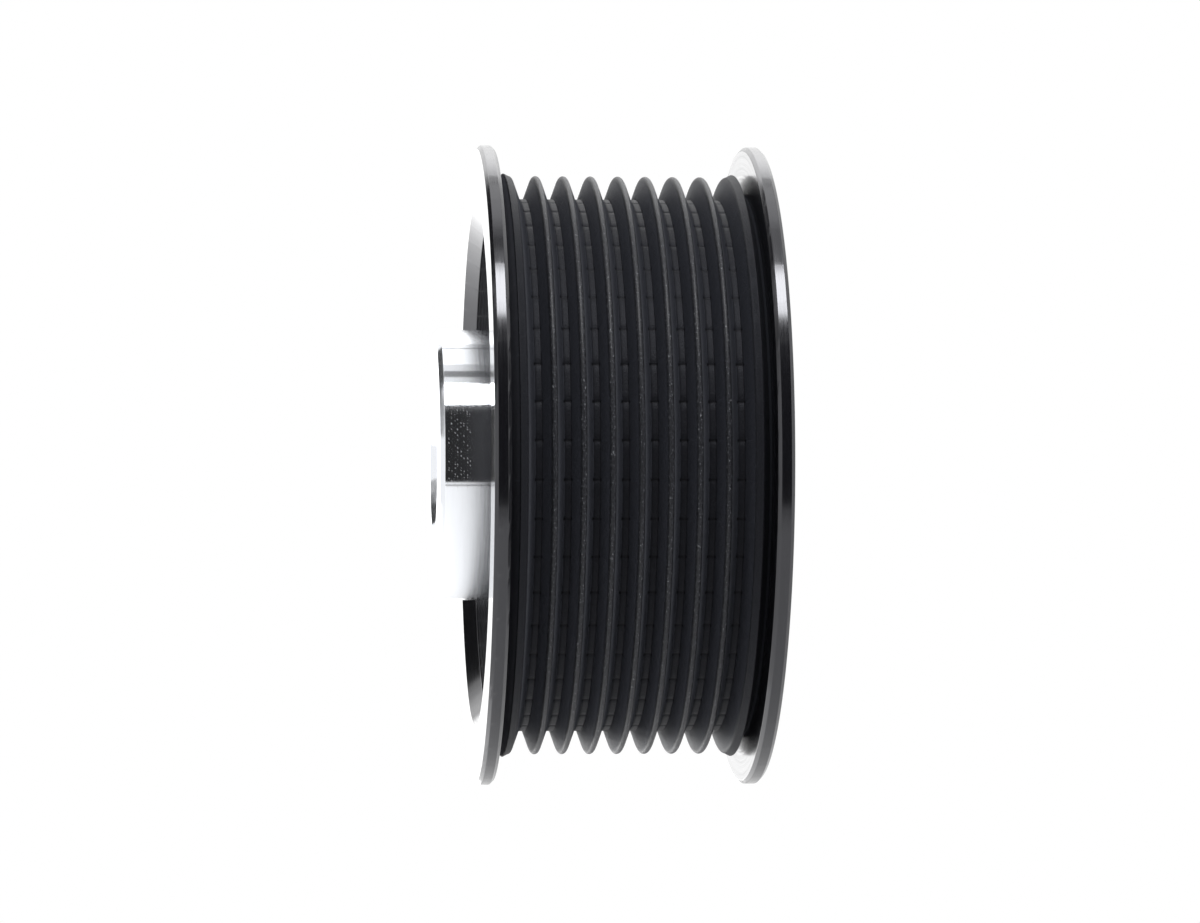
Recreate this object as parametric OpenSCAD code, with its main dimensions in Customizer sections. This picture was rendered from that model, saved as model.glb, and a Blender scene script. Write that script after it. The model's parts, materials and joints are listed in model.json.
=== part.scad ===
/* [Belt ribs] */
// Number of belt grooves
groove_count = 8; // [4:1:10]
// Distance from one groove to the next
groove_pitch = 3.56; // [3.3:0.01:4.7]
// Angle between the two flanks of a groove
groove_angle = 40; // [36:1:44]
// Diameter over the rib crests
crest_diameter = 74.9; // [67:0.1:80]
// Rounding of the rib crests
crest_radius = 0.35; // [0.2:0.05:0.5]
// Rounding of the groove bottoms
root_radius = 0.6; // [0.2:0.05:0.75]
// Width of an end rib past its crest line
end_land = 0.65; // [0.2:0.05:1.5]
// Height of an end rib's outer edge over the crests
end_rise = 0.35; // [0.05:0.05:0.6]
// Width of the floor between an end rib and its flange
relief_width = 0.35; // [0.1:0.05:2]
// Depth of that floor below the crests
relief_depth = 2.2; // [1:0.1:3]

/* [Flanges] */
// Diameter of both flanges
flange_diameter = 82.7; // [81:0.1:110]
// Thickness of each flange
flange_thickness = 2.1; // [1.4:0.1:5]
// Chamfer along both edges of each flange
flange_chamfer = 0.45; // [0.1:0.05:0.6]

/* [Body] */
// Wall between the dish in the front face and the floor beside the first rib
dish_wall = 3.25; // [1.5:0.05:8]
// Depth of the dish
dish_depth = 4.2; // [3:0.1:6]
// Chamfer along the mouth of the dish
dish_chamfer = 1.7; // [0.3:0.1:2.5]
// Thickness of the web between the dish and the cup behind it
web_thickness = 5.7; // [4:0.1:12]
// Wall between the groove bottoms and the cup in the rear face
rim_wall = 3.5; // [1.5:0.05:5]
// Wall of the boss that carries the hub inside the cup
boss_wall = 6; // [2:0.25:8]
// Length of the boss behind the web
boss_length = 10; // [6:0.5:14]
// Rounding of the corners at the bottom of the cup
cup_fillet = 2; // [0.5:0.25:2.5]
// Chamfer along the edges of the cup and the boss
edge_chamfer = 0.35; // [0.1:0.05:0.8]

/* [Hub] */
// Diameter of the hub
hub_diameter = 35; // [28:0.5:37]
// Distance that the hub stands out in front of the front flange
hub_reach = 5.35; // [2:0.05:15]
// Chamfer along the front and rear edges of the hub
hub_chamfer = 0.6; // [0.2:0.05:1.2]
// Diameter of the shaft bore
bore_diameter = 16; // [8:0.5:20]
// Chamfer at both ends of the shaft bore
bore_chamfer = 1; // [0.2:0.05:1.5]
// Room between the hub and its seat in the body
seat_gap = 0.01; // [0:0.005:0.03]

/* [Hidden] */
$fn = 180;

// Steps in each rounded stretch of a section
crest_steps = 8;
root_steps = 4;
fillet_steps = 8;

// Radii of the body
flank_angle = groove_angle / 2;
flange_r = flange_diameter / 2;
crest_r = crest_diameter / 2;
rib_height = groove_pitch / 2 / tan(flank_angle) - (crest_radius + root_radius) * (1 / sin(flank_angle) - 1);
root_r = crest_r - rib_height;
end_r = crest_r + end_rise;
relief_r = crest_r - relief_depth;
dish_r = relief_r - dish_wall;
cup_r = root_r - rim_wall;
seat_r = hub_diameter / 2 + seat_gap;
boss_r = seat_r + boss_wall;
corner_r = min(cup_fillet, (cup_r - boss_r) / 2);

// Places along the axis, counted from the middle of the ribs
first_crest = -groove_count * groove_pitch / 2;
end_edge = first_crest - end_land;
end_foot = end_edge - (end_r - relief_r) * tan(flank_angle);
flange_inner = end_foot - relief_width;
front_face = flange_inner - flange_thickness;
rear_face = -front_face;
dish_floor = front_face + dish_depth;
web_rear = dish_floor + web_thickness;
boss_rear = web_rear + boss_length;
hub_front = front_face - hub_reach;

// Points of a section are [radius, place along the axis]
function arc(centre, radius, start, end, steps) =
    [for (i = [0:steps]) let (a = start + (end - start) * i / steps) centre + radius * [cos(a), sin(a)]];

// The outer half of an end rib, from its flange up to the line of the crests
end_rib = [
    [relief_r, flange_inner],
    [relief_r, end_foot],
    [end_r, end_edge],
];

// One flange edge, from its outer face to the floor inside it
flange_edge = [
    [flange_r - flange_chamfer, front_face],
    [flange_r, front_face + flange_chamfer],
    [flange_r, flange_inner - flange_chamfer],
    [flange_r - flange_chamfer, flange_inner],
];

// The half of a crest that faces the rear, down to where the flank starts
function crest_rear(place) =
    arc([crest_r - crest_radius, place], crest_radius, 0, 90 - flank_angle, crest_steps / 2);

// The half of a crest that faces the front, from the flank up to the crest line
function crest_front(place) =
    arc([crest_r - crest_radius, place], crest_radius, flank_angle - 90, 0, crest_steps / 2);

function groove_bottom(place) =
    arc([root_r + root_radius, place], root_radius, 270 - flank_angle, 90 + flank_angle, root_steps);

// All grooves from the first crest line to the last
ribs = [for (i = [0:groove_count - 1])
    let (place = first_crest + i * groove_pitch)
    each concat(crest_rear(place), groove_bottom(place + groove_pitch / 2), crest_front(place + groove_pitch))];

function mirrored(points) = [for (i = [len(points) - 1:-1:0]) [points[i].x, -points[i].y]];

// The inside of the body, from the cup's mouth to the dish's edge
inside = concat(
    [[cup_r + edge_chamfer, rear_face], [cup_r, rear_face - edge_chamfer]],
    arc([cup_r - corner_r, web_rear + corner_r], corner_r, 0, -90, fillet_steps),
    arc([boss_r + corner_r, web_rear + corner_r], corner_r, 270, 180, fillet_steps),
    [[boss_r, boss_rear - edge_chamfer], [boss_r - edge_chamfer, boss_rear]],
    [[seat_r, boss_rear], [seat_r, dish_floor]],
    [[dish_r, dish_floor], [dish_r, front_face + dish_chamfer], [dish_r + dish_chamfer, front_face]]
);

body_section = concat(flange_edge, end_rib, ribs, mirrored(end_rib), mirrored(flange_edge), inside);

hub_section = [
    [bore_diameter / 2 + bore_chamfer, hub_front],
    [hub_diameter / 2 - hub_chamfer, hub_front],
    [hub_diameter / 2, hub_front + hub_chamfer],
    [hub_diameter / 2, boss_rear - hub_chamfer],
    [hub_diameter / 2 - hub_chamfer, boss_rear],
    [bore_diameter / 2 + bore_chamfer, boss_rear],
    [bore_diameter / 2, boss_rear - bore_chamfer],
    [bore_diameter / 2, hub_front + bore_chamfer],
];

// Turns a section round the pulley's axis, with the front towards -Y
module turned(section) {
    rotate([-90, 0, 0]) rotate_extrude() polygon(section);
}

module ribbed_rim() {
    color([0.1, 0.1, 0.11]) turned(body_section);
}

module hub() {
    color([0.8, 0.8, 0.82]) turned(hub_section);
}

ribbed_rim();
hub();
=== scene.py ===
import json
import math

import bpy
import numpy as np
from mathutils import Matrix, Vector


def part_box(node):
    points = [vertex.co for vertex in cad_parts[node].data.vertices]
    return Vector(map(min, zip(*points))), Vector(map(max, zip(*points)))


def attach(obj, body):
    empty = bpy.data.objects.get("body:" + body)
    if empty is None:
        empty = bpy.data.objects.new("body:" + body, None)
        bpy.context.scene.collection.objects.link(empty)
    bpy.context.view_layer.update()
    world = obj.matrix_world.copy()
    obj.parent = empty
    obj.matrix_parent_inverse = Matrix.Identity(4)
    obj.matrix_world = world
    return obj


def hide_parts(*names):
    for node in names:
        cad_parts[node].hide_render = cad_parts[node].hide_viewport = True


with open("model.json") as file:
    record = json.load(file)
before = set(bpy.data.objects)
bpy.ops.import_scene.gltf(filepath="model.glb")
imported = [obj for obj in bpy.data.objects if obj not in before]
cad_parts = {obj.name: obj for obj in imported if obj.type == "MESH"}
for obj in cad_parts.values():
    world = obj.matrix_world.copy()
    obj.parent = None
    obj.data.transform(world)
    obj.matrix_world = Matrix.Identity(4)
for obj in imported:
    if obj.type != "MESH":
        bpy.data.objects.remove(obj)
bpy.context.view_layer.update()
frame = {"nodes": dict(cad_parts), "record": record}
mm = 0.001
print("frame loaded:", ", ".join(sorted(frame["nodes"])))


# Camera, on the +X side and a little towards the hub
cameraView = {
    "place": (587.3, -52.93, -12.1),  # mm
    "turn": 4.957,  # degrees towards the rear
    "lift": 1.2236,  # degrees above level
    "lens": 136.12,  # mm
    "sensor": 36.0,  # mm
    "clip": (0.01, 50.0),  # m
}


def addCamera(v):
    cam = bpy.data.objects.new("photoCamera", bpy.data.cameras.new("photoCamera"))
    bpy.context.scene.collection.objects.link(cam)
    turn, lift = math.radians(v["turn"]), math.radians(v["lift"])
    ahead = Vector((-math.cos(turn) * math.cos(lift), math.sin(turn) * math.cos(lift), math.sin(lift)))
    cam.location = Vector(v["place"]) * mm
    cam.rotation_euler = ahead.to_track_quat("-Z", "Y").to_euler()
    cam.data.lens = v["lens"]
    cam.data.sensor_width = v["sensor"]
    cam.data.sensor_fit = "HORIZONTAL"
    cam.data.clip_start, cam.data.clip_end = v["clip"]
    bpy.context.scene.camera = cam


addCamera(cameraView)
bpy.context.scene.view_settings.view_transform = "Standard"
print("camera set")


# Turned sections: lists of (radius, place along the axis) in mm
def arcPoints(centre, radius, start, end, steps):
    angles = np.radians(np.linspace(start, end, steps + 1))
    return [(centre[0] + radius * math.cos(a), centre[1] + radius * math.sin(a)) for a in angles]


def bendPoints(first, corner, last, steps):
    # a curve from first to last that runs along both sides of the corner at its ends
    share = np.linspace(0, 1, steps + 1)[:, None]
    curve = (1 - share) ** 2 * first + 2 * share * (1 - share) * corner + share**2 * last
    return [tuple(p) for p in curve]


def softened(points, radius, steps=3, sharpest=25.0, mostReach=0.4):
    # rounds each corner of a closed section that turns more than a rounded stretch does
    count = len(points)
    done = []
    for i in range(count):
        before, corner, after = (np.array(points[(i + k) % count], float) for k in (-1, 0, 1))
        inLength, outLength = np.linalg.norm(corner - before), np.linalg.norm(after - corner)
        inWay, outWay = (corner - before) / inLength, (after - corner) / outLength
        bend = math.acos(max(-1.0, min(1.0, float(inWay @ outWay))))
        if math.degrees(bend) < sharpest:
            done.append(tuple(corner))
            continue
        reach = min(radius * math.tan(bend / 2), mostReach * inLength, mostReach * outLength)
        done += bendPoints(corner - inWay * reach, corner, corner + outWay * reach, steps)
    return done


# The black body, with its size from the frame and the section's own values in mm
rimLook = {
    "grooves": 8,
    "pitch": 3.56,
    "grooveAngle": 40.0,  # degrees
    "crestDiameter": 74.9,
    "crestRound": 0.35,
    "crestSteps": 5,
    "rootRound": 0.6,
    "rootLift": 0.06,  # from the lowest point of that rounding to the flat bottom
    "footRound": 0.5,  # at the foot of each rib's rear flank
    "footSteps": 5,
    "endLand": 0.65,
    "endRise": 0.35,
    "reliefDepth": 2.2,
    "reliefWidth": 0.35,
    "flangeChamfer": 0.45,
    "dishDepth": 4.2,
    "dishWall": 3.25,
    "dishChamfer": 1.7,
    "web": 5.7,
    "rimWall": 3.5,
    "bossWall": 6.0,
    "bossLength": 10.0,
    "fillet": 2.0,
    "filletSteps": 6,
    "edgeChamfer": 0.35,
    "seatGap": 0.01,
    "softEdge": 0.12,
    "ribSkin": 0.3,  # depth below the groove bottoms that still counts as rib
    "gapSlack": 0.02,  # room between a flange's inner face and the ribs' finish
    "seams": 45,  # cross marks in each groove bottom, per turn
    "seamStart": 3.86,  # degrees above level on the +X side
    "seamWide": 0.3,
    "seamSlope": (0.75, 1.35),  # shares of half that width, where a mark's sides start and end
    "seamFade": (0.75, 0.4),  # shares of that width, where a mark's shade ends and is full
    "seamDeep": 0.05,
    "seamHigh": 0.4,  # above the groove bottom
    "seamRunOut": 0.2,  # over which a mark ends up the flanks
    "stepsPerSeam": 8,
}

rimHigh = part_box("ribbed_rim")[1]
flangeR, rearFace = rimHigh.x / mm, rimHigh.y / mm
hubLow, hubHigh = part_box("hub")
hubR, hubFront, hubRear = hubHigh.x / mm, hubLow.y / mm, hubHigh.y / mm
boreR = next(m for m in frame["record"]["mounts"] if m["name"] == "shaft_bore")["dims"]["r_mm"]

flank = math.radians(rimLook["grooveAngle"] / 2)
crestR = rimLook["crestDiameter"] / 2
roundings = rimLook["crestRound"] + rimLook["rootRound"]
ribHigh = rimLook["pitch"] / 2 / math.tan(flank) - roundings * (1 / math.sin(flank) - 1)
rootR = crestR - ribHigh


def footPoints(corner, radius, steps):
    # rounds the corner between a rear flank and the groove bottom behind it
    corner = np.array(corner)
    upFlank = np.array((math.cos(flank), -math.sin(flank)))
    reach = radius * math.tan((math.pi / 2 - flank) / 2)
    return bendPoints(corner + reach * upFlank, corner, corner + (0, reach), steps)


def ribPoints(v):
    points = []
    steep = 90 - v["grooveAngle"] / 2
    first = -v["grooves"] * v["pitch"] / 2
    # the groove bottoms are all but flat, with the flanks run down to them
    flatR = rootR + v["rootLift"]
    footR = rootR + v["rootRound"] * (1 - math.sin(flank))
    flatHalf = v["rootRound"] * math.cos(flank) - (footR - flatR) * math.tan(flank)
    crestMiddle = crestR - v["crestRound"]
    for i in range(v["grooves"]):
        place = first + i * v["pitch"]
        middle, nextPlace = place + v["pitch"] / 2, place + v["pitch"]
        points += arcPoints((crestMiddle, place), v["crestRound"], 0, steep, v["crestSteps"])
        points += footPoints((flatR, middle - flatHalf), v["footRound"], v["footSteps"])
        points.append((flatR, middle + flatHalf))
        points += arcPoints((crestMiddle, nextPlace), v["crestRound"], -steep, 0, v["crestSteps"])[:-1]
    points.append((crestR, first + v["grooves"] * v["pitch"]))
    return points


def bodySection(v):
    frontFace = -rearFace
    endR = crestR + v["endRise"]
    reliefR = crestR - v["reliefDepth"]
    endEdge = -v["grooves"] * v["pitch"] / 2 - v["endLand"]
    endFoot = endEdge - (endR - reliefR) * math.tan(flank)
    flangeInner = endFoot - v["reliefWidth"]
    chamfer, edge, fillet = v["flangeChamfer"], v["edgeChamfer"], v["fillet"]
    outer = [
        (flangeR - chamfer, frontFace),
        (flangeR, frontFace + chamfer),
        (flangeR, flangeInner - chamfer),
        (flangeR - chamfer, flangeInner),
        (reliefR, flangeInner),
        (reliefR, endFoot),
        (endR, endEdge),
    ]
    back = [(r, -y) for r, y in reversed(outer)]
    dishR, dishFloor = reliefR - v["dishWall"], frontFace + v["dishDepth"]
    webRear = dishFloor + v["web"]
    bossRear = webRear + v["bossLength"]
    cupR = rootR - v["rimWall"]
    seatR = hubR + v["seatGap"]
    bossR = seatR + v["bossWall"]
    inner = [(cupR + edge, rearFace), (cupR, rearFace - edge)]
    inner += arcPoints((cupR - fillet, webRear + fillet), fillet, 0, -90, v["filletSteps"])
    inner += arcPoints((bossR + fillet, webRear + fillet), fillet, 270, 180, v["filletSteps"])
    inner += [(bossR, bossRear - edge), (bossR - edge, bossRear), (seatR, bossRear), (seatR, dishFloor)]
    mouth = v["dishChamfer"]
    inner += [(dishR, dishFloor), (dishR, frontFace + mouth), (dishR + mouth, frontFace)]
    return softened(outer + ribPoints(v) + back + inner, v["softEdge"]), flangeInner


# The hub, with its size from the frame
hubLook = {
    "chamfer": 0.6,  # mm
    "mouth": 1.0,  # mm, chamfer at the ends of the bore
    "softEdge": 0.08,  # mm
    "turns": 240,  # steps round the axis
}


def hubSection(v):
    chamfer, mouth = v["chamfer"], v["mouth"]
    points = [
        (boreR + mouth, hubFront),
        (hubR - chamfer, hubFront),
        (hubR, hubFront + chamfer),
        (hubR, hubRear - chamfer),
        (hubR - chamfer, hubRear),
        (boreR + mouth, hubRear),
        (boreR, hubRear - mouth),
        (boreR, hubFront + mouth),
    ]
    return softened(points, v["softEdge"])


# Turning a section into a mesh
def turnSection(name, section, angles, shift=None, normalWeight=60):
    rings = np.array(section)
    radius = np.repeat(rings[:, :1], len(angles), axis=1)
    along = np.repeat(rings[:, 1:], len(angles), axis=1)
    if shift is not None:
        radius = radius + shift(radius, along, np.array(angles)[None, :])
    spots = np.stack([radius * np.cos(angles), along, radius * np.sin(angles)], axis=-1) * mm
    count, turns = radius.shape
    i, j = np.meshgrid(np.arange(count), np.arange(turns), indexing="ij")
    nextI, nextJ = (i + 1) % count, (j + 1) % turns
    faces = np.stack([i * turns + j, i * turns + nextJ, nextI * turns + nextJ, nextI * turns + j], axis=-1)
    mesh = bpy.data.meshes.new(name)
    mesh.from_pydata(spots.reshape(-1, 3).tolist(), [], faces.reshape(-1, 4).tolist())
    mesh.update()
    mesh.shade_smooth()
    obj = bpy.data.objects.new(name, mesh)
    bpy.context.scene.collection.objects.link(obj)
    weighted = obj.modifiers.new("weightedNormals", "WEIGHTED_NORMAL")
    weighted.mode = "FACE_AREA"
    weighted.weight = normalWeight
    return obj


def seamSides(v):
    # angles from the middle of a cross mark to where its sides start and end
    half = v["seamWide"] / 2 / rootR
    return [share * half for share in v["seamSlope"]]


def seamAngles(v):
    # a few steps close together at each cross mark, and even steps between the marks
    pitch = 2 * math.pi / v["seams"]
    inner, outer = seamSides(v)
    near = [-outer, -inner, inner, outer]
    gaps = v["stepsPerSeam"] - len(near)
    rest = [outer + (pitch - 2 * outer) * (k + 1) / (gaps + 1) for k in range(gaps)]
    start = math.radians(v["seamStart"])
    return [start + s * pitch + a for s in range(v["seams"]) for a in near + rest]


def seamShift(v):
    pitch = 2 * math.pi / v["seams"]
    inner, outer = seamSides(v)

    def shift(radius, along, angles):
        angles = angles - math.radians(v["seamStart"])
        off = np.abs((angles + pitch / 2) % pitch - pitch / 2)
        across = np.clip((outer - off) / (outer - inner), 0, 1)
        up = np.clip((rootR + v["seamHigh"] - radius) / v["seamRunOut"], 0, 1)
        onRibs = (radius > rootR - v["ribSkin"]) & (np.abs(along) < v["grooves"] * v["pitch"] / 2)
        return -v["seamDeep"] * across * up * onRibs

    return shift


# Small helpers for shader nodes
def newMaterial(name):
    mat = bpy.data.materials.new(name)
    mat.use_nodes = True
    tree = mat.node_tree
    tree.nodes.clear()
    out = tree.nodes.new("ShaderNodeOutputMaterial")
    return mat, tree, out


def addNode(tree, kind, values=None, **settings):
    node = tree.nodes.new(kind)
    for key, value in settings.items():
        setattr(node, key, value)
    for key, value in (values or {}).items():
        node.inputs[key].default_value = value
    return node


def join(tree, source, output, target, socket):
    tree.links.new(source.outputs[output], target.inputs[socket])


def doMath(tree, operation, *items):
    node = addNode(tree, "ShaderNodeMath", operation=operation)
    for socket, item in zip(node.inputs, items):
        if isinstance(item, (int, float)):
            socket.default_value = item
        else:
            tree.links.new(item, socket)
    return node.outputs[0]


def between(tree, value, low, high, toLow=0.0, toHigh=1.0):
    node = addNode(tree, "ShaderNodeMapRange", interpolation_type="SMOOTHSTEP")
    tree.links.new(value, node.inputs["Value"])
    node.inputs["From Min"].default_value = low
    node.inputs["From Max"].default_value = high
    node.inputs["To Min"].default_value = toLow
    node.inputs["To Max"].default_value = toHigh
    return node.outputs["Result"]


def masked(tree, mask, outside, inside):
    return between(tree, mask, 0.0, 1.0, outside, inside)


def mixColour(tree, factor, first, second):
    node = addNode(tree, "ShaderNodeMix", data_type="RGBA")
    colourSockets = [s for s in node.inputs if s.type == "RGBA"]
    tree.links.new(factor, node.inputs["Factor"])
    for socket, item in zip(colourSockets, (first, second)):
        if isinstance(item, tuple):
            socket.default_value = (*item, 1.0)
        else:
            tree.links.new(item, socket)
    return [s for s in node.outputs if s.type == "RGBA"][0]


# Shader group: where a point lies on a turned piece, streaks that run round it, and grain
turnedMarks = {
    "streaksPerMm": 6.0,  # unless a finish sets its own
    "streaksPerTurn": 12.0,  # changes along one streak
    "streakDetail": 2.0,
    "streakSpan": (0.3, 0.7),  # from the weakest streak to the strongest
    "grainsPerMm": 5.0,  # unless a finish sets its own
    "grainDetail": 3.0,
    "grainRough": 0.6,
}


def makeTurnedGroup(v):
    group = bpy.data.node_groups.new("turnedPlaces", "ShaderNodeTree")
    face = group.interface
    streakIn = face.new_socket("Streaks per mm", in_out="INPUT", socket_type="NodeSocketFloat")
    streakIn.default_value = v["streaksPerMm"]
    grainIn = face.new_socket("Grains per mm", in_out="INPUT", socket_type="NodeSocketFloat")
    grainIn.default_value = v["grainsPerMm"]
    for name in ("Radius", "Turn", "Along", "Streaks", "Grain"):
        face.new_socket(name, in_out="OUTPUT", socket_type="NodeSocketFloat")
    start = group.nodes.new("NodeGroupInput")
    end = group.nodes.new("NodeGroupOutput")
    coord = group.nodes.new("ShaderNodeTexCoord")
    parts = group.nodes.new("ShaderNodeSeparateXYZ")
    group.links.new(coord.outputs["Object"], parts.inputs[0])
    x, y, z = parts.outputs
    squares = doMath(group, "ADD", doMath(group, "MULTIPLY", x, x), doMath(group, "MULTIPLY", z, z))
    radius = doMath(group, "MULTIPLY", doMath(group, "SQRT", squares), 1 / mm)
    turn = doMath(group, "MULTIPLY", doMath(group, "ARCTAN2", z, x), 0.5 / math.pi)
    along = doMath(group, "MULTIPLY", y, 1 / mm)
    group.links.new(radius, end.inputs["Radius"])
    group.links.new(turn, end.inputs["Turn"])
    group.links.new(along, end.inputs["Along"])
    # streaks change quickly along and outwards, and slowly round the piece
    flat = group.nodes.new("ShaderNodeCombineXYZ")
    roundPiece = doMath(group, "MULTIPLY", doMath(group, "ABSOLUTE", turn), v["streaksPerTurn"])
    group.links.new(doMath(group, "MULTIPLY", along, start.outputs["Streaks per mm"]), flat.inputs[0])
    group.links.new(doMath(group, "MULTIPLY", radius, start.outputs["Streaks per mm"]), flat.inputs[1])
    group.links.new(roundPiece, flat.inputs[2])
    streakNoise = addNode(group, "ShaderNodeTexNoise", {"Scale": 1.0, "Detail": v["streakDetail"]})
    group.links.new(flat.outputs[0], streakNoise.inputs["Vector"])
    group.links.new(streakNoise.outputs["Fac"], end.inputs["Streaks"])
    grainValues = {"Detail": v["grainDetail"], "Roughness": v["grainRough"]}
    grainNoise = addNode(group, "ShaderNodeTexNoise", grainValues)
    group.links.new(coord.outputs["Object"], grainNoise.inputs["Vector"])
    perMetre = doMath(group, "MULTIPLY", start.outputs["Grains per mm"], 1 / mm)
    group.links.new(perMetre, grainNoise.inputs["Scale"])
    group.links.new(grainNoise.outputs["Fac"], end.inputs["Grain"])
    return group


turnedPlaces = makeTurnedGroup(turnedMarks)


def placeTurned(tree, v):
    node = addNode(tree, "ShaderNodeGroup", node_tree=turnedPlaces)
    for key, socket in (("streaksPerMm", "Streaks per mm"), ("grainsPerMm", "Grains per mm")):
        if key in v:
            node.inputs[socket].default_value = v[key]
    return node


# Black anodised finish of the flanges and the body
blackAnodised = {
    "colour": (0.003, 0.003, 0.004),
    "mottle": (0.0085, 0.0085, 0.0108),
    "ior": 1.68,
    "tint": (0.94, 0.945, 1.0),
    "rough": (0.12, 0.18),
    "innerRough": 0.05,  # more than that on the inner faces of the flanges
    "hollowRough": 0.12,  # more than that in the dish and the cup
    "innerTo": 16.4,  # mm from the middle plane, where both end
    "innerBlend": 0.02,  # mm to each side of that
    "hollowBlend": 0.1,  # mm from the one to the other
    "streaksPerMm": 9.0,
    "grainsPerMm": 3.0,
    "streakHigh": 0.02,  # mm
    "streakStrength": 0.004,
}


def makeBlackAnodised(v):
    mat, tree, out = newMaterial("blackAnodised")
    bsdf = addNode(tree, "ShaderNodeBsdfPrincipled", {"IOR": v["ior"], "Specular Tint": (*v["tint"], 1.0)})
    places = placeTurned(tree, v)
    streaks, radius = places.outputs["Streaks"], places.outputs["Radius"]
    mottled = mixColour(tree, places.outputs["Grain"], v["colour"], v["mottle"])
    tree.links.new(mottled, bsdf.inputs["Base Color"])
    fromMiddle = doMath(tree, "ABSOLUTE", places.outputs["Along"])
    inside = between(tree, fromMiddle, v["innerTo"] + v["innerBlend"], v["innerTo"] - v["innerBlend"])
    more = between(tree, radius, rootR, rootR + v["hollowBlend"], v["hollowRough"], v["innerRough"])
    rough = between(tree, streaks, *turnedMarks["streakSpan"], *v["rough"])
    rough = doMath(tree, "MULTIPLY_ADD", inside, more, rough)
    tree.links.new(rough, bsdf.inputs["Roughness"])
    bumpValues = {"Strength": v["streakStrength"], "Distance": v["streakHigh"] * mm}
    bump = addNode(tree, "ShaderNodeBump", bumpValues)
    tree.links.new(streaks, bump.inputs["Height"])
    join(tree, bump, "Normal", bsdf, "Normal")
    join(tree, bsdf, "BSDF", out, "Surface")
    return mat


# Matte textured black of the ribs, gritty and a little worn along the crests, with painted light on the
# rear sides and by the front flange, painted shade in the groove bottoms, cross marks and by the rear
# flange, and painted glints on crest specks
ribBlack = {
    "flank": (0.0293, 0.0311, 0.0386),  # sides towards the hub
    # painted light: the rear sides are lighter than the sides towards the hub, as if lit from the rear
    "rearFlank": (0.0415, 0.0438, 0.0533),  # sides towards the rear
    # painted light: a lighter band on the rear sides just below the crests
    "rearTop": (0.075, 0.0777, 0.09),  # their tops, next to the crests
    # painted shade: the groove bottoms are darker than the flanks
    "root": (0.0082, 0.0086, 0.0108),
    # painted shade: the cross marks in the groove bottoms are darker still
    "seam": (0.004, 0.004, 0.005),
    "crest": (0.0198, 0.0208, 0.0251),
    "crestDark": (0.006, 0.0063, 0.008),
    "land": (0.0085, 0.0089, 0.0112),  # tops of the end ribs
    # painted light: the end rib's outer side by the front flange is lighter
    "frontGap": (0.055, 0.057, 0.068),  # outer side of the end rib next to the front flange
    # painted shade: the same side by the rear flange is darker, a shaded copy
    "rearGap": (0.015, 0.016, 0.02),  # outer side of the end rib next to the rear flange
    # pale grit specks on the crests, their pale colour partly a painted glint
    "speck": (0.17, 0.175, 0.188),
    "rootTo": 34.6,  # mm from the axis, where the groove bottoms end
    "rootBlend": 0.1,  # mm
    "crestFrom": 36.8,  # mm from the axis, where the crests start
    "crestBlend": 0.45,  # mm
    "rearTopHigh": 0.8,  # mm below the crests
    "rearSpan": (0.52, 0.48),  # shares of a pitch, where the rear sides end
    "landFrom": 13.7,  # mm from the middle plane, where the end ribs' tops start
    "landBlend": 0.3,  # mm
    "gapFrom": 14.95,  # mm from the middle plane, where their outer sides start
    "gapBlend": 0.1,  # mm
    "ior": 1.25,
    "tint": (0.86, 0.89, 1.0),
    "flankRough": 0.55,
    "crestRough": 0.55,
    "rootRough": 0.56,
    "crestCoat": 0.36,
    "coatRough": 0.4,
    "gapRough": 0.95,
    "speckRough": 0.25,
    "grainsPerMm": 4.0,
    "sandSpan": (0.4, 0.6),  # grain, from the dark spots of a crest to the pale ones
    "speckSpan": (0.63, 0.68),  # grain, where the bright specks start
    "gritHigh": 0.18,  # mm
    "flankGrit": 0.35,  # share of that height on the flanks
}


def seamMask(tree, places, rim):
    # 1 on the cross marks at the bottoms of the grooves
    start = rim["seamStart"] / 360 * rim["seams"]
    phase = doMath(tree, "MULTIPLY_ADD", places.outputs["Turn"], rim["seams"], 0.5 - start)
    off = doMath(tree, "ABSOLUTE", doMath(tree, "SUBTRACT", doMath(tree, "FRACT", phase), 0.5))
    offMm = doMath(tree, "MULTIPLY", off, 2 * math.pi * rootR / rim["seams"])
    across = between(tree, offMm, *(share * rim["seamWide"] for share in rim["seamFade"]))
    top = rootR + rim["seamHigh"]
    low = between(tree, places.outputs["Radius"], top, top - rim["seamRunOut"])
    return doMath(tree, "MULTIPLY", across, low)


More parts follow.
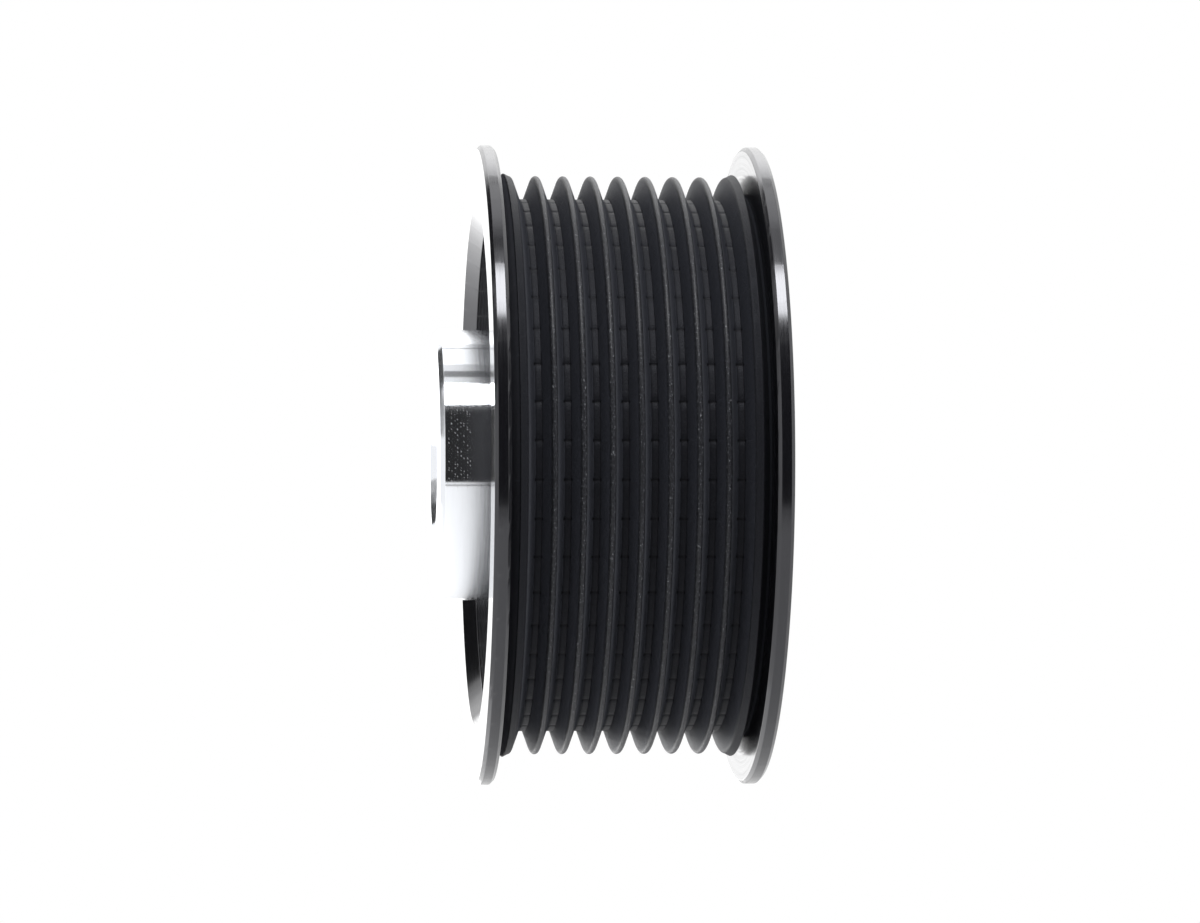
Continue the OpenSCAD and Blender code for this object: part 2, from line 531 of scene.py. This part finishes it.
def makeRibBlack(v, rim):
    mat, tree, out = newMaterial("ribBlack")
    bsdf = addNode(tree, "ShaderNodeBsdfPrincipled", {"IOR": v["ior"], "Specular Tint": (*v["tint"], 1.0)})
    bsdf.inputs["Coat Roughness"].default_value = v["coatRough"]
    places = placeTurned(tree, v)
    radius, along, grain = (places.outputs[name] for name in ("Radius", "Along", "Grain"))

    # where the parts of the ribs lie
    fromMiddle = doMath(tree, "ABSOLUTE", along)
    onLand = between(tree, fromMiddle, v["landFrom"], v["landFrom"] + v["landBlend"])
    inRear = between(tree, along, v["gapFrom"], v["gapFrom"] + v["gapBlend"])
    inFront = between(tree, along, -v["gapFrom"], -v["gapFrom"] - v["gapBlend"])
    high = between(tree, radius, v["crestFrom"], v["crestFrom"] + v["crestBlend"])
    crest = doMath(tree, "MULTIPLY", high, doMath(tree, "SUBTRACT", 1.0, onLand))
    low = between(tree, radius, v["rootTo"], v["rootTo"] - v["rootBlend"])
    seam = seamMask(tree, places, rim)
    phase = doMath(tree, "FRACT", doMath(tree, "DIVIDE", along, rim["pitch"]))
    rear = between(tree, phase, *v["rearSpan"])  # 1 from a crest back to the middle of its groove
    nearCrest = between(tree, radius, v["crestFrom"] - v["rearTopHigh"], v["crestFrom"])
    rearTop = doMath(tree, "MULTIPLY", rear, nearCrest)
    # pale grit specks on the crests, partly painted glints
    speck = doMath(tree, "MULTIPLY", between(tree, grain, *v["speckSpan"]), crest)

    # painted light: the rear sides and the band below their crests are lighter, as if lit from the rear
    shade = mixColour(tree, rear, v["flank"], v["rearFlank"])
    shade = mixColour(tree, rearTop, shade, v["rearTop"])
    # painted shade: darker groove bottoms
    shade = mixColour(tree, low, shade, v["root"])
    # painted shade: darker cross marks in the groove bottoms
    shade = mixColour(tree, seam, shade, v["seam"])
    sandy = mixColour(tree, between(tree, grain, *v["sandSpan"]), v["crestDark"], v["crest"])
    shade = mixColour(tree, crest, shade, sandy)
    shade = mixColour(tree, doMath(tree, "MULTIPLY", high, onLand), shade, v["land"])
    # painted shade on the end rib's outer side by the rear flange, painted light on the one by the front
    # flange
    shade = mixColour(tree, inRear, shade, v["rearGap"])
    shade = mixColour(tree, inFront, shade, v["frontGap"])
    tree.links.new(mixColour(tree, speck, shade, v["speck"]), bsdf.inputs["Base Color"])

    smoothRoot = doMath(tree, "MULTIPLY", low, doMath(tree, "SUBTRACT", 1.0, seam))
    inGap = doMath(tree, "MAXIMUM", inRear, inFront)
    rough = masked(tree, crest, v["flankRough"], v["crestRough"])
    rough = doMath(tree, "MULTIPLY_ADD", smoothRoot, v["rootRough"] - v["flankRough"], rough)
    rough = doMath(tree, "MULTIPLY_ADD", speck, v["speckRough"] - v["crestRough"], rough)
    rough = doMath(tree, "MULTIPLY_ADD", inGap, v["gapRough"] - v["flankRough"], rough)
    tree.links.new(rough, bsdf.inputs["Roughness"])
    tree.links.new(doMath(tree, "MULTIPLY", crest, v["crestCoat"]), bsdf.inputs["Coat Weight"])

    bump = addNode(tree, "ShaderNodeBump", {"Strength": 1.0, "Distance": v["gritHigh"] * mm})
    height = doMath(tree, "MULTIPLY", grain, masked(tree, crest, v["flankGrit"], 1.0))
    tree.links.new(height, bump.inputs["Height"])
    join(tree, bump, "Normal", bsdf, "Normal")
    join(tree, bsdf, "BSDF", out, "Surface")
    return mat


# Bright turned metal of the hub, with rings of fine chatter marks on one side
brightHub = {
    "colour": (0.91, 0.93, 0.965),
    "shade": (0.85, 0.87, 0.91),
    "rough": (0.12, 0.16),
    "anisotropy": 1.0,
    "glossTurn": 0.25,  # of a turn, because the tool marks run round the axis
    "streaksPerMm": 14.0,
    "streakHigh": 0.0003,  # mm
    "ringsAt": (1.05, 1.4, 1.85, 2.15, 2.6, 2.95, 3.4, 3.75),  # mm behind the hub's front face
    "ringWide": 0.13,  # mm
    "ringFade": (0.65, 0.35),  # shares of that width, where a ring ends and is full
    "markColour": (0.7, 0.71, 0.75),
    "markMetal": 0.4,
    "marksPerTurn": 420.0,
    "markSlant": 4.0,  # marks that a row drifts by per mm along the axis
    "markSpan": (0.56, 0.66),  # noise, where a mark starts and is full
    "patchesPerTurn": 126.0,
    "patchesPerMm": 1.6,
    "patchSpan": (0.48, 0.55),  # noise, where a patch with marks starts and is full
    "marksFrom": -0.028,  # share of a turn above level on the +X side
    "marksTo": 0.075,
    "marksFade": 0.01,  # share of a turn to each side of both
}


def chatterMask(tree, places, v):
    turn = places.outputs["Turn"]
    behind = doMath(tree, "SUBTRACT", places.outputs["Along"], hubFront)
    ringEdges = [share * v["ringWide"] for share in v["ringFade"]]
    rings = None
    for at in v["ringsAt"]:
        off = doMath(tree, "ABSOLUTE", doMath(tree, "SUBTRACT", behind, at))
        ring = between(tree, off, *ringEdges)
        rings = ring if rings is None else doMath(tree, "MAXIMUM", rings, ring)
    rows = addNode(tree, "ShaderNodeTexNoise", {"Scale": 1.0, "Detail": 0.0}, noise_dimensions="1D")
    row = doMath(tree, "MULTIPLY", turn, v["marksPerTurn"])
    tree.links.new(doMath(tree, "MULTIPLY_ADD", behind, v["markSlant"], row), rows.inputs["W"])
    flat = tree.nodes.new("ShaderNodeCombineXYZ")
    tree.links.new(doMath(tree, "MULTIPLY", behind, v["patchesPerMm"]), flat.inputs[0])
    tree.links.new(doMath(tree, "MULTIPLY", turn, v["patchesPerTurn"]), flat.inputs[1])
    patches = addNode(tree, "ShaderNodeTexNoise", {"Scale": 1.0, "Detail": 1.0})
    tree.links.new(flat.outputs[0], patches.inputs["Vector"])
    marks = doMath(tree, "MULTIPLY", rings, between(tree, rows.outputs["Fac"], *v["markSpan"]))
    marks = doMath(tree, "MULTIPLY", marks, between(tree, patches.outputs["Fac"], *v["patchSpan"]))
    above = between(tree, turn, v["marksFrom"] - v["marksFade"], v["marksFrom"] + v["marksFade"])
    below = between(tree, turn, v["marksTo"] + v["marksFade"], v["marksTo"] - v["marksFade"])
    return doMath(tree, "MULTIPLY", marks, doMath(tree, "MULTIPLY", above, below))


def makeBrightHub(v):
    mat, tree, out = newMaterial("brightHub")
    gloss = {"Anisotropic": v["anisotropy"], "Anisotropic Rotation": v["glossTurn"]}
    bsdf = addNode(tree, "ShaderNodeBsdfPrincipled", gloss)
    tangent = addNode(tree, "ShaderNodeTangent", direction_type="RADIAL", axis="Y")
    join(tree, tangent, "Tangent", bsdf, "Tangent")
    places = placeTurned(tree, v)
    streaks = places.outputs["Streaks"]
    chatter = chatterMask(tree, places, v)
    shade = mixColour(tree, streaks, v["shade"], v["colour"])
    tree.links.new(mixColour(tree, chatter, shade, v["markColour"]), bsdf.inputs["Base Color"])
    tree.links.new(masked(tree, chatter, 1.0, v["markMetal"]), bsdf.inputs["Metallic"])
    rough = between(tree, streaks, *turnedMarks["streakSpan"], *v["rough"])
    tree.links.new(rough, bsdf.inputs["Roughness"])
    bump = addNode(tree, "ShaderNodeBump", {"Strength": 1.0, "Distance": v["streakHigh"] * mm})
    tree.links.new(streaks, bump.inputs["Height"])
    join(tree, bump, "Normal", bsdf, "Normal")
    join(tree, bsdf, "BSDF", out, "Surface")
    return mat


anodisedMat = makeBlackAnodised(blackAnodised)
ribMat = makeRibBlack(ribBlack, rimLook)
hubMat = makeBrightHub(brightHub)
print("materials made")


# The two pieces
def buildBody(v):
    section, flangeInner = bodySection(v)
    obj = turnSection("ribbedBody", section, seamAngles(v), seamShift(v))
    obj.data.materials.append(anodisedMat)
    obj.data.materials.append(ribMat)
    ribsTo, ribsFrom = -flangeInner - v["gapSlack"], rootR - v["ribSkin"]
    for poly in obj.data.polygons:
        c = poly.center
        inRibs = abs(c.y) / mm < ribsTo and math.hypot(c.x, c.z) / mm > ribsFrom
        poly.material_index = 1 if inRibs else 0
    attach(obj, "root")
    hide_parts("ribbed_rim")
    return obj


def buildHub(v):
    angles = [2 * math.pi * k / v["turns"] for k in range(v["turns"])]
    obj = turnSection("hubSleeve", hubSection(v), angles)
    obj.data.materials.append(hubMat)
    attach(obj, "root")
    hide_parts("hub")
    return obj


bodyPiece = buildBody(rimLook)
hubPiece = buildHub(hubLook)
print("pieces turned:", len(bodyPiece.data.polygons), "and", len(hubPiece.data.polygons), "faces")


# Floor, cards and lamps; angles are degrees above level, seen from the axis on the camera's side
studio = {
    "floorDrop": 120.0,  # mm below the axis
    "floorSize": 12.0,  # m
    "floorShade": 0.9,
    "shadowNear": 220.0,  # mm round the axis where the floor shows its shadow in full
    "shadowFar": 380.0,  # mm round the axis where the floor is plain white
    "fill": 0.225,  # world light on matte surfaces
    "lampReach": 750.0,  # mm from the axis
    "lampLift": 3.0,  # mm from the floor to the lamps that lie on it
    "backdropReach": 1000.0,  # mm behind the axis
    "backdropHigh": 340.0,  # mm
    "sideLamp": {"place": (640.0, 640.0, 250.0), "wide": 500.0, "high": 500.0, "glow": 1.8},
    "wallReach": 600.0,  # mm from the origin
    "cardSteps": 12,
}
# name: lowest and highest angle, glow, reach in mm, start and end along the axis in mm
cards = {
    "darkSide": (-15.3, 50.7, 0.024, 450.0, -500.0, 500.0),
    "darkSill": (-18.3, -17.2, 0.2, 370.0, -500.0, 500.0),
    "darkGap": (77.6, 84.3, 0.3, 450.0, -500.0, 42.0),
    "darkLine": (114.2, 115.3, 0.2, 450.0, -500.0, 500.0),
}
# name: start and end round Z from +X, lowest and highest angle, glow
wallCards = {
    "wallDark": (216.5, 257.0, 18.0, 43.0, 0.04),
    "wallGrey": (257.0, 275.0, 12.0, 30.0, 0.3),
}
# name: lowest and highest angle, glow, length in mm along the axis
arcLamps = {
    "key": (49.0, 70.8, 13.0, 420.0),
    "top": (93.0, 123.0, 0.65, 420.0),
    "back": (123.0, 137.0, 2.1, 700.0),
    "backUpper": (137.0, 143.5, 1.7, 700.0),
    "backMiddle": (143.5, 150.0, 1.2, 700.0),
    "backLower": (150.0, 157.0, 0.75, 700.0),
    "backFoot": (157.0, 166.0, 0.35, 700.0),
}
# name: place along Y, width in mm, glow
backdrops = {
    "backdropNear": (-390.0, 600.0, 1.0),
    "backdropFar": (210.0, 600.0, 0.9),
}
# name: place along X and Y, size along X and Y in mm, glow
floorLamps = {
    "frontFar": (-665.0, -200.0, 670.0, 400.0, 2.3),
    "frontBack": (-300.0, -240.0, 60.0, 320.0, 2.1),
    "frontMiddle": (-230.0, -245.0, 80.0, 320.0, 1.8),
    "frontFore": (-165.0, -250.0, 50.0, 320.0, 1.3),
    "frontNear": (-90.0, -270.0, 100.0, 360.0, 0.9),
    "hubFloor": (50.0, -52.0, 740.0, 76.0, 0.45),
}
white = (1.0, 1.0, 1.0, 1.0)


def addWorld(v):
    world = bpy.data.worlds.new("whiteStudio")
    bpy.context.scene.world = world
    world.use_nodes = True
    tree = world.node_tree
    tree.nodes.clear()
    out = tree.nodes.new("ShaderNodeOutputWorld")
    light = addNode(tree, "ShaderNodeBackground", {"Color": white})
    path = tree.nodes.new("ShaderNodeLightPath")
    seen = doMath(tree, "MAXIMUM", path.outputs["Is Camera Ray"], path.outputs["Is Glossy Ray"])
    seen = doMath(tree, "MAXIMUM", seen, path.outputs["Is Transmission Ray"])
    tree.links.new(masked(tree, seen, v["fill"], 1.0), light.inputs["Strength"])
    tree.links.new(light.outputs[0], out.inputs["Surface"])


def addFloor(v):
    half = v["floorSize"] / 2
    z = -v["floorDrop"] * mm
    corners = [(-half, -half, z), (half, -half, z), (half, half, z), (-half, half, z)]
    mesh = bpy.data.meshes.new("floor")
    mesh.from_pydata(corners, [], [(0, 1, 2, 3)])
    floor = bpy.data.objects.new("floor", mesh)
    bpy.context.scene.collection.objects.link(floor)
    mat, tree, out = newMaterial("paleFloor")
    shade = v["floorShade"]
    pale = addNode(tree, "ShaderNodeBsdfDiffuse", {"Color": (shade, shade, shade, 1.0)})
    plainWhite = addNode(tree, "ShaderNodeEmission", {"Color": white, "Strength": 1.0})
    clear = tree.nodes.new("ShaderNodeBsdfTransparent")
    path = tree.nodes.new("ShaderNodeLightPath")
    shape = tree.nodes.new("ShaderNodeNewGeometry")
    # shadows show near the pulley, and the floor is plain white further out and in reflections
    distance = addNode(tree, "ShaderNodeVectorMath", operation="LENGTH")
    tree.links.new(shape.outputs["Position"], distance.inputs[0])
    far = between(tree, distance.outputs["Value"], v["shadowNear"] * mm, v["shadowFar"] * mm)
    seen = doMath(tree, "MULTIPLY", path.outputs["Is Camera Ray"], far)
    seen = doMath(tree, "MAXIMUM", seen, path.outputs["Is Glossy Ray"])
    seen = doMath(tree, "MAXIMUM", seen, path.outputs["Is Transmission Ray"])
    lit = tree.nodes.new("ShaderNodeMixShader")
    tree.links.new(seen, lit.inputs["Fac"])
    tree.links.new(pale.outputs[0], lit.inputs[1])
    tree.links.new(plainWhite.outputs[0], lit.inputs[2])
    # a camera below the floor sees through it
    fromBelow = doMath(tree, "MULTIPLY", path.outputs["Is Camera Ray"], shape.outputs["Backfacing"])
    whole = tree.nodes.new("ShaderNodeMixShader")
    tree.links.new(fromBelow, whole.inputs["Fac"])
    tree.links.new(lit.outputs[0], whole.inputs[1])
    tree.links.new(clear.outputs[0], whole.inputs[2])
    tree.links.new(whole.outputs[0], out.inputs["Surface"])
    mesh.materials.append(mat)


def addStrip(name, edges, glow):
    # edges are pairs of spots across the strip; only reflections show it
    spots = [spot for edge in edges for spot in edge]
    faces = [(2 * k, 2 * k + 1, 2 * k + 3, 2 * k + 2) for k in range(len(edges) - 1)]
    mesh = bpy.data.meshes.new(name)
    mesh.from_pydata(spots, [], faces)
    card = bpy.data.objects.new(name, mesh)
    bpy.context.scene.collection.objects.link(card)
    mat, tree, out = newMaterial(name)
    grey = addNode(tree, "ShaderNodeEmission", {"Color": white, "Strength": glow})
    tree.links.new(grey.outputs[0], out.inputs["Surface"])
    mesh.materials.append(mat)
    card.visible_camera = False
    card.visible_diffuse = False
    card.visible_shadow = False


def addCard(name, low, high, glow, reach, start, end, v):
    edges = []
    for a in np.radians(np.linspace(low, high, v["cardSteps"] + 1)):
        x, z = reach * math.cos(a) * mm, reach * math.sin(a) * mm
        edges.append([(x, along * mm, z) for along in (start, end)])
    addStrip(name + "Card", edges, glow)


def addWallCard(name, start, end, low, high, glow, v):
    edges = []
    reach = v["wallReach"] * mm
    for a in np.radians(np.linspace(start, end, v["cardSteps"] + 1)):
        x, y = reach * math.cos(a), reach * math.sin(a)
        edges.append([(x, y, reach * math.tan(math.radians(lift))) for lift in (low, high)])
    addStrip(name + "Card", edges, glow)


def addLamp(name, place, wide, high, glow):
    data = bpy.data.lights.new(name, "AREA")
    data.shape = "RECTANGLE"
    data.size, data.size_y = wide * mm, high * mm
    data.energy = glow * math.pi * data.size * data.size_y
    lamp = bpy.data.objects.new(name, data)
    bpy.context.scene.collection.objects.link(lamp)
    lamp.location = Vector(place) * mm
    lamp.visible_camera = False
    return lamp


def aimAtAxis(lamp, along=True):
    away = Vector((lamp.location.x, 0 if along else lamp.location.y, lamp.location.z)).normalized()
    lamp.rotation_euler = (-away).to_track_quat("-Z", "Y").to_euler()


def addArcLamp(name, low, high, glow, long, v):
    middle, half = math.radians((low + high) / 2), math.radians((high - low) / 2)
    reach = v["lampReach"]
    place = (reach * math.cos(middle), 0, reach * math.sin(middle))
    aimAtAxis(addLamp(name + "Lamp", place, long, 2 * reach * math.tan(half), glow))


def addFloorLamp(name, x, y, wide, long, glow, v):
    lamp = addLamp(name + "Lamp", (x, y, v["lampLift"] - v["floorDrop"]), wide, long, glow)
    lamp.rotation_euler = (math.pi, 0, 0)  # faces up


def addBackdrop(name, y, wide, glow, v):
    aimAtAxis(addLamp(name + "Lamp", (-v["backdropReach"], y, 0), wide, v["backdropHigh"], glow))


def addSideLamp(v):
    s = v["sideLamp"]
    aimAtAxis(addLamp("sideLamp", s["place"], s["wide"], s["high"], s["glow"]), along=False)


addWorld(studio)
addFloor(studio)
for cardName, values in cards.items():
    addCard(cardName, *values, studio)
for cardName, values in wallCards.items():
    addWallCard(cardName, *values, studio)
for lampName, values in arcLamps.items():
    addArcLamp(lampName, *values, studio)
for lampName, values in floorLamps.items():
    addFloorLamp(lampName, *values, studio)
for lampName, values in backdrops.items():
    addBackdrop(lampName, *values, studio)
addSideLamp(studio)
print("studio set")
